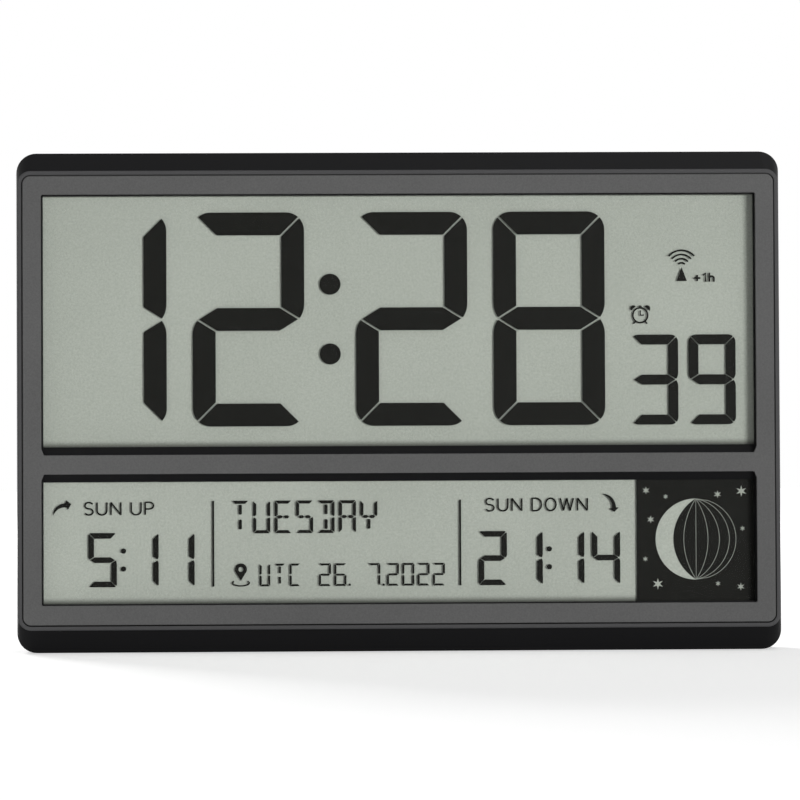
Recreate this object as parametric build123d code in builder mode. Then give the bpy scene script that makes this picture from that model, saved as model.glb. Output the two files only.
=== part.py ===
from build123d import *
import os
from math import cos, hypot, pi, sin, sqrt

# Large radio-controlled digital clock for the wall or the table.
# Millimetres, +Z up, front towards -Y, standing on z = 0, centred on x = 0 and on its depth.
# A depth is counted from the front of the bezel towards the back.

os.makedirs("parts", exist_ok=True)

# Case
case_width = 368.0
case_height = 240.5
case_depth = 30.0
case_corner = 9.6
shell_wall = 2.2
parting_depth = 14.0
seam_chamfer = 0.4
back_edge_round = 4.0

# Bezel
bezel_side_inset = 1.3
bezel_top_inset = 9.2
bezel_bottom_inset = 11.2
bezel_corner = 6.3
bezel_thickness = 2.5
rim_width = 1.9
rim_drop = 0.6
rim_round = 0.8
groove_width = 0.7
groove_depth = 1.3
face_chamfer = 0.25
side_border = 11.4
top_border = 11.5
bottom_border = 11.9
crossbar_height = 9.2
lower_window_height = 62.7
window_corner = 0.8
corner_slant_run = 1.2
corner_slant_rise = 3.0
bezel_peg_radius = 1.2
peg_clearance = 0.1

# Front shell
band_depth = 9.5
front_wall = 2.4
window_step = 0.5
ledge_run = 3.8

# Layers of the two displays
gasket_thickness = 0.4
gasket_inset = 0.6
glass_thickness = 1.1
segment_thickness = 0.15
film_thickness = 0.3
glass_overlap = 3.0
glass_gap = 5.0
contact_ledge = 4.0
fit_clearance = 0.3

# Figures of the time display; the artwork with its margins is stretched to the window
time_text = "12:28"
time_left_margin = 5.9
time_bottom_margin = 13.5
time_top_margin = 8.3
digit_width = 53.7
digit_height = 103.0
digit_stroke = 11.0
digit_corner = 8.7
digit_gap = 0.9
digit_pitch = 66.25
colon_space = 12.3
colon_spread = 33.6
colon_radius = 5.06
seconds_text = "39"
seconds_space = 12.55
seconds_right_margin = 8.9
seconds_width = 22.75
seconds_height = 43.4
seconds_stroke = 4.8
seconds_corner = 3.7
seconds_gap = 0.5
seconds_pitch = 27.75

# Figures of the lower display, stretched in the same way
sunrise_text = " 5:11"
sunset_text = "21:14"
sunrise_left = 4.5
sunset_left = 209.2
sun_bottom_margin = 8.5
sun_width = 13.65
sun_height = 26.0
sun_stroke = 2.7
sun_corner = 1.5
sun_gap = 0.4
sun_pitch = 17.25
sun_colon_space = 2.8
sun_colon_spread = 8.6
sun_colon_radius = 1.25
divider_width = 0.9
divider_height = 41.2
divider_places = (81.7, 200.4)
day_text = "TUESDAY"
day_left = 90.6
day_bottom_margin = 34.0
day_top_margin = 13.0
day_width = 8.2
day_height = 15.7
day_stroke = 1.5
day_gap = 0.35
day_pitch = 10.3
zone_text = "UTC"
zone_left = 103.9
zone_width = 5.1
zone_pitch = 7.2
date_text = "26. 7.2022"
date_left = 132.4
date_width = 5.8
date_height = 10.9
date_stroke = 1.0
date_gap = 0.25
date_pitch = 7.37
date_dot_radius = 0.55
date_dot_space = 1.6
moon_field_width = 57.2
moon_raise = 30.2
moon_radius = 19.5
moon_terminator = 10.9
star_waist = 0.36
star_places = (
    (-24.0, 23.5, 2.0),
    (-14.5, 20.5, 1.45),
    (10.5, 21.5, 2.0),
    (22.0, 23.0, 2.8),
    (-21.8, 9.5, 2.0),
    (22.5, 5.0, 1.45),
    (-24.5, -9.5, 1.45),
    (-18.5, -21.5, 2.8),
    (10.5, -21.5, 1.45),
    (21.5, -23.0, 2.0),
)

# Display carrier and main board
carrier_thickness = 2.0
carrier_rim = 1.5
tab_width = 9.0
post_radius = 3.0
post_gap = 0.4
case_screw_inner = 55.0
case_screw_outer = 150.0
carrier_screw_span = 100.0
carrier_post_radius = 2.6
board_width = 300.0
board_height = 56.0
board_thickness = 1.6
board_standoff = 2.0
standoff_radius = 2.8
standoff_inset = 5.0
strip_length = 280.0
strip_width = 2.2
strip_slot_clearance = 0.6
chip_x = -70.0
chip_radius = 9.0
chip_height = 2.0
chip_round = 1.8
crystal_x = -50.0
crystal_radius = 1.5
crystal_length = 8.0
capacitor_x = -92.0
capacitor_radius = 2.5
capacitor_height = 7.0
capacitor_pitch = 7.5

# Screws
case_screw_radius = 1.3
case_screw_length = 11.0
case_screw_seat = 4.5
small_screw_radius = 1.0
small_screw_length = 4.5
screw_head_ratio = 2.0
screw_head_height = 1.6
screw_slot_ratio = 1.5
screw_slot_width = 0.6
screw_slot_depth = 0.8
screw_clearance = 0.05
screw_hole_clearance = 0.3
screw_tip_room = 0.4
well_clearance = 0.5
well_wall = 1.2

# Buttons and slide switch
button_names = ("set", "up", "down", "alarm", "signal", "zone")
button_columns = 2
button_field_x = 104.0
button_field_lift = 4.2
button_pitch_x = 24.0
button_pitch_z = 15.0
button_width = 13.0
button_height = 7.5
button_corner = 3.0
button_crown = 0.6
button_flange = 1.2
button_flange_thickness = 1.0
button_stem_radius = 2.2
button_travel = 0.8
button_sink = 0.1
field_depth = 1.0
field_margin = 6.0
field_corner = 4.0
slide_clearance = 0.25
tact_size = 6.2
tact_height = 3.4
plunger_radius = 1.7
plunger_height = 1.25
plunger_engagement = 1.2
plunger_clearance = 0.06
switch_drop = 15.0
switch_travel = 4.0
switch_knob_width = 3.6
switch_knob_height = 2.8
switch_foot_width = 5.2
switch_foot_height = 4.0
switch_foot_depth = 2.0
switch_body_wall = 1.6

# Battery bay, for three AA cells
cell_names = ("lower", "middle", "upper")
cell_radius = 7.1
cell_body_length = 48.7
cell_edge_round = 0.8
nub_radius = 2.7
nub_length = 1.5
cell_pitch = 15.2
cell_clearance = 0.3
cell_head_room = 0.9
spring_room = 4.6
plate_room = 0.9
contact_thickness = 0.4
contact_width = 8.0
contact_height = 10.0
contact_touch = 0.05
bay_wall = 1.4
bay_lift = 6.0
cover_ledge = 2.6
cover_ledge_thickness = 2.2
cover_thickness = 1.9
cover_sink = 0.1
cover_corner = 2.0
cover_skirt = 1.2
cover_skirt_height = 1.5
latch_width = 18.0
latch_length = 9.0
latch_slit = 0.8
grip_count = 4
grip_pitch = 1.8
grip_width = 0.8
grip_depth = 0.5
finger_notch_radius = 6.0
finger_notch_depth = 1.2

# Stand
stand_width = 66.0
stand_hinge_height = 106.0
stand_tip_height = 10.0
stand_sink = 0.5
stand_thickness = 5.4
stand_skin = 2.2
stand_rib = 2.0
stand_rib_count = 3
stand_corner = 5.0
stand_notch_width = 22.0
stand_notch_height = 14.0
stand_pad_height = 2.4
stand_pad_width = 14.0
stand_pad_inset = 0.6
stand_pad_round = 1.0
stand_clearance = 0.4
stand_end_clearance = 0.7
stand_pocket_wall = 1.8
stand_pin_radius = 1.5
stand_pin_clearance = 0.06
knuckle_radius = 2.6

# Wall hangers
keyhole_span = 240.0
keyhole_drop = 33.5
keyhole_entry_radius = 4.5
keyhole_slot_radius = 2.3
keyhole_slot_length = 9.0
keyhole_pocket_depth = 6.5
keyhole_pocket_margin = 2.6
keyhole_pocket_wall = 1.6

# Radio receiver and buzzer
antenna_drop = 14.0
antenna_radius = 4.0
antenna_length = 92.0
antenna_back_room = 7.8
coil_radius = 6.4
coil_length = 44.0
clip_span = 72.0
clip_thickness = 5.0
clip_rim = 2.4
antenna_clearance = 0.05
receiver_x = 72.0
receiver_width = 24.0
receiver_height = 16.0
receiver_thickness = 1.0
receiver_stand = 3.0
receiver_peg_span = 16.0
receiver_post_radius = 2.0
receiver_peg_radius = 0.9
receiver_peg_length = 1.6
buzzer_x = -104.0
buzzer_height = 90.0
buzzer_radius = 13.5
buzzer_thickness = 0.6
buzzer_ledge = 1.4
buzzer_wall = 1.6
buzzer_room = 2.3
buzzer_guard = 1.2
grille_hole_radius = 0.9
grille_ring_radius = 5.0
grille_ring_count = 8

# Heights, half widths and depths that follow from the sizes above
bezel_width = case_width - 2 * bezel_side_inset
bezel_height = case_height - bezel_top_inset - bezel_bottom_inset
bezel_top = bezel_bottom_inset + bezel_height
face_inset = rim_width + groove_width
window_half = bezel_width / 2 - side_border
lower_window_bottom = bezel_bottom_inset + bottom_border
lower_window_top = lower_window_bottom + lower_window_height
upper_window_bottom = lower_window_top + crossbar_height
upper_window_top = bezel_top - top_border
crossbar_middle = lower_window_top + crossbar_height / 2

wall_back = bezel_thickness + front_wall
glass_front = wall_back + gasket_thickness
segment_front = glass_front + glass_thickness
rear_glass_front = segment_front + segment_thickness
film_front = rear_glass_front + glass_thickness
carrier_front = film_front + film_thickness
carrier_back = carrier_front + carrier_thickness
board_front = carrier_back + board_standoff
board_back = board_front + board_thickness
back_wall_front = case_depth - shell_wall

glass_half = window_half + glass_overlap
upper_glass_bottom = crossbar_middle + glass_gap / 2
upper_glass_top = upper_window_top + glass_overlap
lower_glass_bottom = lower_window_bottom - glass_overlap
lower_glass_top = crossbar_middle - glass_gap / 2
tray_half = glass_half + fit_clearance + carrier_rim
tray_bottom = lower_glass_bottom - fit_clearance - carrier_rim
tray_top = upper_glass_top + fit_clearance + carrier_rim
tab_height = 2 * (post_gap + post_radius)
top_row = tray_top + tab_height / 2
bottom_row = tray_bottom - tab_height / 2
case_screw_places = [
    (side * reach, row)
    for row in (bottom_row, top_row)
    for side in (-1, 1)
    for reach in (case_screw_inner, case_screw_outer)
]
carrier_screw_places = [
    (column * carrier_screw_span, row) for row in (bottom_row, top_row) for column in (-1, 0, 1)
]
bezel_peg_places = [
    (side * (window_half + side_border / 2), height)
    for side in (-1, 1)
    for height in (lower_window_bottom, crossbar_middle, upper_window_top)
] + [(column * carrier_screw_span, crossbar_middle) for column in (-1, 0, 1)]
board_screw_places = [
    (side * (board_width / 2 - standoff_inset), crossbar_middle + rise * (board_height / 2 - standoff_inset))
    for side in (-1, 1)
    for rise in (-1, 1)
]


def layer(depth):
    """Upright sketch plane at a depth behind the front: local x is across, local y is up."""
    return Plane.XZ.offset(case_depth / 2 - depth)


def y_at(depth):
    """Place along Y of a depth."""
    return depth - case_depth / 2


def rounded(width, bottom, top, corner, mode=Mode.ADD):
    """Rounded rectangle centred on x = 0, between two heights."""
    with Locations((0, (bottom + top) / 2)):
        RectangleRounded(width, top - bottom, corner, mode=mode)


def block(width, bottom, top, mode=Mode.ADD):
    """Square-cornered rectangle centred on x = 0, between two heights."""
    with Locations((0, (bottom + top) / 2)):
        Rectangle(width, top - bottom, mode=mode)


def case_outline(inset=0):
    """Outline of the case, drawn in by an inset."""
    rounded(case_width - 2 * inset, inset, case_height - inset, case_corner - inset)


def bezel_outline(inset=0, mode=Mode.ADD):
    """Outline of the bezel, drawn in by an inset."""
    bottom = bezel_bottom_inset + inset
    rounded(bezel_width - 2 * inset, bottom, bezel_top - inset, bezel_corner - inset, mode)


def save(piece, name):
    """Label a finished piece and write it under its own name."""
    piece.part.label = name
    export_step(piece.part, f"parts/{name}.step")


# Front bezel: one grey moulding with two windows, a groove and a low rim round its face,
# held by pegs that pass through the front shell
def window_outline(outer_edge, bar_edge):
    """Window whose two corners beside the crossbar are cut on a slant."""
    rise = corner_slant_rise if outer_edge > bar_edge else -corner_slant_rise
    inner_half = window_half - corner_slant_run
    Polygon(
        (-window_half, outer_edge),
        (window_half, outer_edge),
        (window_half, bar_edge + rise),
        (inner_half, bar_edge),
        (-inner_half, bar_edge),
        (-window_half, bar_edge + rise),
    )


with BuildPart() as front_bezel:
    with BuildSketch(layer(rim_drop)):
        bezel_outline()
    extrude(amount=rim_drop - bezel_thickness)
    fillet(front_bezel.faces().sort_by(Axis.Y)[0].edges(), rim_round)
    with BuildSketch(layer(0)):
        bezel_outline(face_inset)
    extrude(amount=-bezel_thickness)
    with BuildSketch(layer(rim_drop)):
        bezel_outline(rim_width)
        bezel_outline(face_inset, Mode.SUBTRACT)
    extrude(amount=rim_drop - groove_depth, mode=Mode.SUBTRACT)
    with BuildSketch(layer(0)) as windows:
        window_outline(upper_window_top, upper_window_bottom)
        window_outline(lower_window_bottom, lower_window_top)
        fillet(windows.vertices(), window_corner)
    extrude(amount=-bezel_thickness, mode=Mode.SUBTRACT)
    chamfer(front_bezel.faces().sort_by(Axis.Y)[0].edges(), face_chamfer)
    with BuildSketch(layer(bezel_thickness)):
        with Locations(*bezel_peg_places):
            Circle(bezel_peg_radius)
    extrude(amount=-front_wall)
save(front_bezel, "front_bezel")

# Front shell: black front half of the case, with sloped bands above and below the bezel,
# slanted ledges beside the crossbar, posts for the screws and a rib between the displays
visible_half = window_half - window_step
upper_visible = (upper_window_bottom + ledge_run, upper_window_top - window_step)
lower_visible = (lower_window_bottom + window_step, lower_window_top - ledge_run)

with BuildPart() as front_shell:
    with BuildSketch(layer(bezel_thickness)):
        bezel_outline()
    with BuildSketch(layer(band_depth)):
        case_outline()
    loft(ruled=True)
    with BuildSketch(layer(band_depth)):
        case_outline()
    extrude(amount=band_depth - parting_depth)
    chamfer(front_shell.faces().sort_by(Axis.Y)[-1].edges(), seam_chamfer)
    with BuildSketch(layer(wall_back)):
        bezel_outline(shell_wall)
    with BuildSketch(layer(band_depth + shell_wall)):
        case_outline(shell_wall)
    loft(ruled=True, mode=Mode.SUBTRACT)
    with BuildSketch(layer(band_depth + shell_wall)):
        case_outline(shell_wall)
    extrude(amount=band_depth + shell_wall - parting_depth, mode=Mode.SUBTRACT)
    with BuildSketch(Plane.YZ.offset(-visible_half)):
        Polygon(
            (y_at(bezel_thickness), upper_visible[1]),
            (y_at(wall_back), upper_visible[1]),
            (y_at(wall_back), upper_visible[0]),
            (y_at(bezel_thickness), upper_window_bottom),
        )
        Polygon(
            (y_at(bezel_thickness), lower_visible[0]),
            (y_at(wall_back), lower_visible[0]),
            (y_at(wall_back), lower_visible[1]),
            (y_at(bezel_thickness), lower_window_top),
        )
    extrude(amount=2 * visible_half, mode=Mode.SUBTRACT)
    with BuildSketch(layer(wall_back)):
        block(2 * glass_half, lower_glass_top + fit_clearance, upper_glass_bottom - fit_clearance)
    extrude(amount=wall_back - segment_front)
    with BuildSketch(layer(wall_back)):
        with Locations(*case_screw_places):
            Circle(post_radius)
    extrude(amount=wall_back - parting_depth)
    with BuildSketch(layer(wall_back)):
        with Locations(*carrier_screw_places):
            Circle(carrier_post_radius)
    extrude(amount=wall_back - carrier_front)
    with BuildSketch(layer(parting_depth)):
        with Locations(*case_screw_places):
            Circle(case_screw_radius + screw_clearance)
    extrude(amount=case_screw_length - case_screw_seat + screw_tip_room, mode=Mode.SUBTRACT)
    with BuildSketch(layer(carrier_front)):
        with Locations(*carrier_screw_places):
            Circle(small_screw_radius + screw_clearance)
    extrude(amount=small_screw_length - carrier_thickness + screw_tip_room, mode=Mode.SUBTRACT)
    with BuildSketch(layer(bezel_thickness)):
        with Locations(*bezel_peg_places):
            Circle(bezel_peg_radius + peg_clearance)
    extrude(amount=-front_wall, mode=Mode.SUBTRACT)
save(front_shell, "front_shell")

# Foam gaskets between the front shell and the two displays
with BuildPart() as display_gaskets:
    with BuildSketch(layer(wall_back)):
        block(2 * glass_half, upper_glass_bottom, upper_glass_top)
        block(2 * glass_half, lower_glass_bottom, lower_glass_top)
        for bottom, top in (upper_visible, lower_visible):
            block(2 * (visible_half + gasket_inset), bottom - gasket_inset, top + gasket_inset, Mode.SUBTRACT)
    extrude(amount=-gasket_thickness)
save(display_gaskets, "display_gaskets")

# The two displays: front glass, rear glass and reflector film; the front glass is taller than
# the rear one by a ledge that carries its contacts
with BuildPart() as time_front_glass:
    with BuildSketch(layer(glass_front)):
        block(2 * glass_half, upper_glass_bottom, upper_glass_top)
    extrude(amount=-glass_thickness)
save(time_front_glass, "time_front_glass")

with BuildPart() as time_rear_glass:
    with BuildSketch(layer(rear_glass_front)):
        block(2 * glass_half, upper_glass_bottom + contact_ledge, upper_glass_top)
    extrude(amount=-glass_thickness)
save(time_rear_glass, "time_rear_glass")

with BuildPart() as time_reflector:
    with BuildSketch(layer(film_front)):
        block(2 * glass_half, upper_glass_bottom + contact_ledge, upper_glass_top)
    extrude(amount=-film_thickness)
save(time_reflector, "time_reflector")

with BuildPart() as info_front_glass:
    with BuildSketch(layer(glass_front)):
        block(2 * glass_half, lower_glass_bottom, lower_glass_top)
    extrude(amount=-glass_thickness)
save(info_front_glass, "info_front_glass")

with BuildPart() as info_rear_glass:
    with BuildSketch(layer(rear_glass_front)):
        block(2 * glass_half, lower_glass_bottom, lower_glass_top - contact_ledge)
    extrude(amount=-glass_thickness)
save(info_rear_glass, "info_rear_glass")

with BuildPart() as info_reflector:
    with BuildSketch(layer(film_front)):
        block(2 * glass_half, lower_glass_bottom, lower_glass_top - contact_ledge)
    extrude(amount=-film_thickness)
save(info_reflector, "info_reflector")

# Figures: bars a to f run clockwise from the top, g and h are the left and right halves of the
# middle bar, i and l are the upper and lower centre bars of a letter
figure_bars = {
    "0": "abcdef",
    "1": "bc",
    "2": "abged",
    "3": "abgcd",
    "4": "fgbc",
    "5": "afgcd",
    "6": "afgecd",
    "7": "abc",
    "8": "abcdefg",
    "9": "abcdfg",
}
letter_bars = {
    "A": "abcefgh",
    "C": "adef",
    "D": "abcdil",
    "E": "adefgh",
    "S": "afghcd",
    "T": "ail",
    "U": "bcdef",
    "Y": "fbghl",
}
tip_ratio = 0.2
bend_ratio = 0.62


def outer_bars(width, height, stroke, corner, gap):
    """Top bar and upper left bar of a figure, mirrored into its six outer bars."""
    middle = height / 2
    shift = gap / sqrt(2)
    spread = 4 * corner - 2 * shift
    cut = (spread - sqrt(spread**2 - 8 * (corner - shift) ** 2)) / 4
    tip = tip_ratio * stroke
    rise = gap / 2 * hypot(stroke - tip, stroke / 2) / (stroke - tip)
    with BuildSketch() as top_bar:
        with BuildLine():
            Polyline((cut + shift, height - cut), (stroke + shift, height - stroke))
            Polyline((stroke + shift, height - stroke), (width - stroke - shift, height - stroke))
            Polyline((width - stroke - shift, height - stroke), (width - cut - shift, height - cut))
            TangentArc((width - corner, height), (width - cut - shift, height - cut), tangent=(1, 0))
            Line((width - corner, height), (corner, height))
            TangentArc((corner, height), (cut + shift, height - cut), tangent=(-1, 0))
        make_face()
    with BuildSketch() as side_bar:
        with BuildLine():
            Polyline(
                (cut, height - cut - shift),
                (stroke, height - stroke - shift),
                (stroke, middle + stroke / 2 + rise),
                (tip, middle + rise),
            )
            TangentArc((0, middle + rise + bend_ratio * stroke), (tip, middle + rise), tangent=(0, -1))
            Line((0, middle + rise + bend_ratio * stroke), (0, height - corner))
            TangentArc((0, height - corner), (cut, height - cut - shift), tangent=(0, 1))
        make_face()
    across = Plane.YZ.offset(width / 2)
    over = Plane.XZ.offset(-middle)
    upper_right = mirror(side_bar.sketch, about=across)
    return {
        "a": top_bar.sketch,
        "b": upper_right,
        "c": mirror(upper_right, about=over),
        "d": mirror(top_bar.sketch, about=over),
        "e": mirror(side_bar.sketch, about=over),
        "f": side_bar.sketch,
    }


def pointed_bar(start, end, half, point):
    """Bar between two points, upright or level, with a point of its own length at each end."""
    along = (Vector(*end) - Vector(*start)).normalized()
    side = along.rotate(Axis.Z, 90) * half
    near = Vector(*start) + along * point
    far = Vector(*end) - along * point
    with BuildSketch() as bar:
        Polygon(start, near + side, far + side, end, far - side, near - side)
    return bar.sketch


def figure_shapes(width, height, stroke, corner, gap):
    """Seven bars of a figure, drawn from the lower left corner of its cell."""
    bars = outer_bars(width, height, stroke, corner, gap)
    tip = tip_ratio * stroke
    slack = gap / 2 * hypot(stroke - tip, stroke / 2) / (stroke / 2)
    start = (tip + slack, height / 2)
    bars["g"] = pointed_bar(start, (width - tip - slack, height / 2), stroke / 2, stroke - tip)
    return bars


def letter_shapes(width, height, stroke, gap):
    """Bars of a letter: the middle bar in two halves, and two centre bars."""
    bars = outer_bars(width, height, stroke, stroke / 2, gap)
    half = stroke / 2
    middle = height / 2
    centre = width / 2
    bars["g"] = pointed_bar((half + gap, middle), (centre - gap / 2, middle), half, half)
    bars["h"] = pointed_bar((centre + gap / 2, middle), (width - half - gap, middle), half, half)
    upper_end = (centre, height - stroke - gap)
    lower_end = (centre, stroke + gap)
    bars["i"] = pointed_bar((centre, middle + half + gap), upper_end, half, half / 2)
    bars["l"] = pointed_bar(lower_end, (centre, middle - half - gap), half, half / 2)
    return bars


def lit_bars(text, shapes, codes, left, bottom, pitch):
    """Bars of a row of characters, one cell every pitch, with blanks left empty."""
    return [
        shapes[bar].moved(Location((left + place * pitch, bottom)))
        for place, character in enumerate(text)
        for bar in codes.get(character, "")
    ]


def clock_bars(text, shapes, left, bottom, pitch, extra):
    """Hours and minutes with extra room for the colon between them."""
    hours, minutes = text.split(":")
    minutes_left = left + len(hours) * pitch + extra
    return lit_bars(hours, shapes, figure_bars, left, bottom, pitch) + lit_bars(
        minutes, shapes, figure_bars, minutes_left, bottom, pitch
    )


def colon_places(left, middle, width, pitch, extra, spread):
    """The two dots between the hours and the minutes."""
    last_hour_edge = left + pitch + width
    colon_x = last_hour_edge + (pitch - width + extra) / 2
    return [(colon_x, middle - spread / 2), (colon_x, middle + spread / 2)]


# Time display figures
digit_count = len(time_text.replace(":", ""))
last_digit_right = time_left_margin + (digit_count - 1) * digit_pitch + colon_space + digit_width
seconds_reach = seconds_pitch + seconds_width + seconds_right_margin
across = 2 * window_half / (last_digit_right + seconds_space + seconds_reach)
time_artwork_height = time_bottom_margin + digit_height + time_top_margin
time_up = (upper_window_top - upper_window_bottom) / time_artwork_height
time_left = across * time_left_margin - window_half
time_bottom = upper_window_bottom + time_up * time_bottom_margin
time_middle = time_bottom + time_up * digit_height / 2
cell_width = across * digit_width
cell_step = across * digit_pitch
colon_room = across * colon_space
digit_shapes = figure_shapes(
    cell_width, time_up * digit_height, across * digit_stroke, across * digit_corner, across * digit_gap
)
seconds_left = window_half - across * seconds_reach
seconds_step = across * seconds_pitch
seconds_shapes = figure_shapes(
    across * seconds_width,
    time_up * seconds_height,
    across * seconds_stroke,
    across * seconds_corner,
    across * seconds_gap,
)

with BuildPart() as time_segments:
    with BuildSketch(layer(segment_front)):
        add(clock_bars(time_text, digit_shapes, time_left, time_bottom, cell_step, colon_room))
        add(lit_bars(seconds_text, seconds_shapes, figure_bars, seconds_left, time_bottom, seconds_step))
        colon_rise = time_up * colon_spread
        with Locations(*colon_places(time_left, time_middle, cell_width, cell_step, colon_room, colon_rise)):
            Circle(across * colon_radius)
    extrude(amount=-segment_thickness)
save(time_segments, "time_segments")

# Lower display figures: two sun times, the weekday, the time zone, the date and two dividers
info_up = lower_window_height / (day_bottom_margin + day_height + day_top_margin)
info_bottom = lower_window_bottom + info_up * sun_bottom_margin
day_bottom = lower_window_bottom + info_up * day_bottom_margin
sun_middle = info_bottom + info_up * sun_height / 2
sun_cell = across * sun_width
sun_step = across * sun_pitch
sun_room = across * sun_colon_space
sun_shapes = figure_shapes(
    sun_cell, info_up * sun_height, across * sun_stroke, across * sun_corner, across * sun_gap
)
day_shapes = letter_shapes(across * day_width, info_up * day_height, across * day_stroke, across * day_gap)
date_bar = across * date_stroke
date_rise = info_up * date_height
zone_shapes = letter_shapes(across * zone_width, date_rise, date_bar, across * date_gap)
date_shapes = figure_shapes(across * date_width, date_rise, date_bar, date_bar / 2, across * date_gap)
date_numbers = date_text.split(".")
date_spot = across * date_left - window_half
date_step = across * date_pitch
dot_room = across * date_dot_space
dot_radius = across * date_dot_radius
day_left_edge = across * day_left - window_half
zone_left_edge = across * zone_left - window_half
divider_rise = info_up * divider_height

with BuildPart() as info_segments:
    with BuildSketch(layer(segment_front)):
        for text, place in ((sunrise_text, sunrise_left), (sunset_text, sunset_left)):
            sun_left = across * place - window_half
            sun_rise = info_up * sun_colon_spread
            add(clock_bars(text, sun_shapes, sun_left, info_bottom, sun_step, sun_room))
            with Locations(*colon_places(sun_left, sun_middle, sun_cell, sun_step, sun_room, sun_rise)):
                Circle(across * sun_colon_radius)
        add(lit_bars(day_text, day_shapes, letter_bars, day_left_edge, day_bottom, across * day_pitch))
        add(lit_bars(zone_text, zone_shapes, letter_bars, zone_left_edge, info_bottom, across * zone_pitch))
        for number in date_numbers:
            add(lit_bars(number, date_shapes, figure_bars, date_spot, info_bottom, date_step))
            date_spot += len(number) * date_step + dot_room
            if number is not date_numbers[-1]:
                with Locations((date_spot - dot_room, info_bottom + dot_radius)):
                    Circle(dot_radius)
        with Locations(
            *[(across * place - window_half, info_bottom + divider_rise / 2) for place in divider_places]
        ):
            Rectangle(across * divider_width, divider_rise)
    extrude(amount=-segment_thickness)
save(info_segments, "info_segments")

# Moon mask: black field at the right end of the lower display, clear in a crescent and in its stars
moon_field = across * moon_field_width
moon_x = window_half - moon_field / 2
moon_z = lower_window_bottom + info_up * moon_raise
globe_radius = across * moon_radius
shadow_reach = across * moon_terminator
shadow_radius = (globe_radius**2 + shadow_reach**2) / (2 * shadow_reach)

with BuildSketch() as crescent:
    Circle(globe_radius)
    with Locations((shadow_radius - shadow_reach, 0)):
        Circle(shadow_radius, mode=Mode.SUBTRACT)


def star(radius, mode=Mode.ADD):
    """Six-pointed star."""
    reaches = (radius, radius * star_waist) * 6
    Polygon(
        *[(reach * sin(pi * turn / 6), reach * cos(pi * turn / 6)) for turn, reach in enumerate(reaches)],
        mode=mode,
    )


with BuildPart() as moon_mask:
    with BuildSketch(layer(segment_front)):
        mask_left = window_half - moon_field
        mask_bottom = lower_glass_bottom
        mask_top = lower_glass_top - contact_ledge
        with Locations(((mask_left + glass_half) / 2, (mask_bottom + mask_top) / 2)):
            Rectangle(glass_half - mask_left, mask_top - mask_bottom)
        with Locations((moon_x, moon_z)):
            add(crescent.sketch, mode=Mode.SUBTRACT)
        for star_x, star_z, star_radius in star_places:
            with Locations((moon_x + across * star_x, moon_z + info_up * star_z)):
                star(across * star_radius, Mode.SUBTRACT)
    extrude(amount=-segment_thickness)
save(moon_mask, "moon_mask")

# Display carrier: tray that presses both displays forward, with screw tabs, standoffs for the
# board and a slot for the contact strips
strip_heights = (lower_glass_top - contact_ledge / 2, upper_glass_bottom + contact_ledge / 2)
slot_reach = strip_width / 2 + strip_slot_clearance

with BuildPart() as display_carrier:
    with BuildSketch(layer(carrier_front)):
        block(2 * tray_half, tray_bottom, tray_top)
        with Locations(*carrier_screw_places):
            Rectangle(tab_width, tab_height)
        slot_width = strip_length + 2 * strip_slot_clearance
        block(slot_width, strip_heights[0] - slot_reach, strip_heights[1] + slot_reach, Mode.SUBTRACT)
    extrude(amount=-carrier_thickness)
    with BuildSketch(layer(wall_back)):
        block(2 * tray_half, tray_bottom, tray_top)
        inner_bottom = tray_bottom + carrier_rim
        block(2 * (tray_half - carrier_rim), inner_bottom, tray_top - carrier_rim, Mode.SUBTRACT)
    extrude(amount=wall_back - carrier_front)
    with BuildSketch(layer(carrier_back)):
        with Locations(*board_screw_places):
            Circle(standoff_radius)
    extrude(amount=-board_standoff)
    with BuildSketch(layer(carrier_front)):
        with Locations(*carrier_screw_places):
            Circle(small_screw_radius + screw_hole_clearance)
    extrude(amount=-carrier_thickness, mode=Mode.SUBTRACT)
    with BuildSketch(layer(board_front)):
        with Locations(*board_screw_places):
            Circle(small_screw_radius + screw_clearance)
    extrude(amount=small_screw_length - board_thickness + screw_tip_room, mode=Mode.SUBTRACT)
save(display_carrier, "display_carrier")

# Screws: sets of like screws, each with a round head, a cross slot and a shank towards the front
case_screw_seat_depth = parting_depth + case_screw_seat
screw_sets = (
    ("carrier_screws", carrier_back, small_screw_radius, small_screw_length, carrier_screw_places),
    ("board_screws", board_back, small_screw_radius, small_screw_length, board_screw_places),
    ("case_screws", case_screw_seat_depth, case_screw_radius, case_screw_length, case_screw_places),
)

for name, seat_depth, radius, length, places in screw_sets:
    head_radius = screw_head_ratio * radius
    slot_length = screw_slot_ratio * head_radius
    with BuildPart() as screws:
        with BuildSketch(layer(seat_depth)):
            with Locations(*places):
                Circle(head_radius)
        extrude(amount=-screw_head_height)
        with BuildSketch(layer(seat_depth)):
            with Locations(*places):
                Circle(radius)
        extrude(amount=length)
        with BuildSketch(layer(seat_depth + screw_head_height)):
            with Locations(*places):
                Rectangle(slot_length, screw_slot_width)
                Rectangle(screw_slot_width, slot_length)
        extrude(amount=screw_slot_depth, mode=Mode.SUBTRACT)
    save(screws, name)

# Rubber contact strips between the ledges of the displays and the board
with BuildPart() as contact_strips:
    with BuildSketch(layer(segment_front)):
        with Locations(*[(0, height) for height in strip_heights]):
            Rectangle(strip_length, strip_width)
    extrude(amount=segment_front - board_front)
save(contact_strips, "contact_strips")

# Main board with its chip under a resin drop, a crystal can, two capacitors and the key switches
button_rows = len(button_names) // button_columns
button_field_z = crossbar_middle + button_field_lift
button_places = [
    (
        button_field_x + (column - (button_columns - 1) / 2) * button_pitch_x,
        button_field_z + ((button_rows - 1) / 2 - row) * button_pitch_z,
    )
    for row in range(button_rows)
    for column in range(button_columns)
]
tact_back = board_back + tact_height
plunger_back = tact_back + plunger_height

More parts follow.
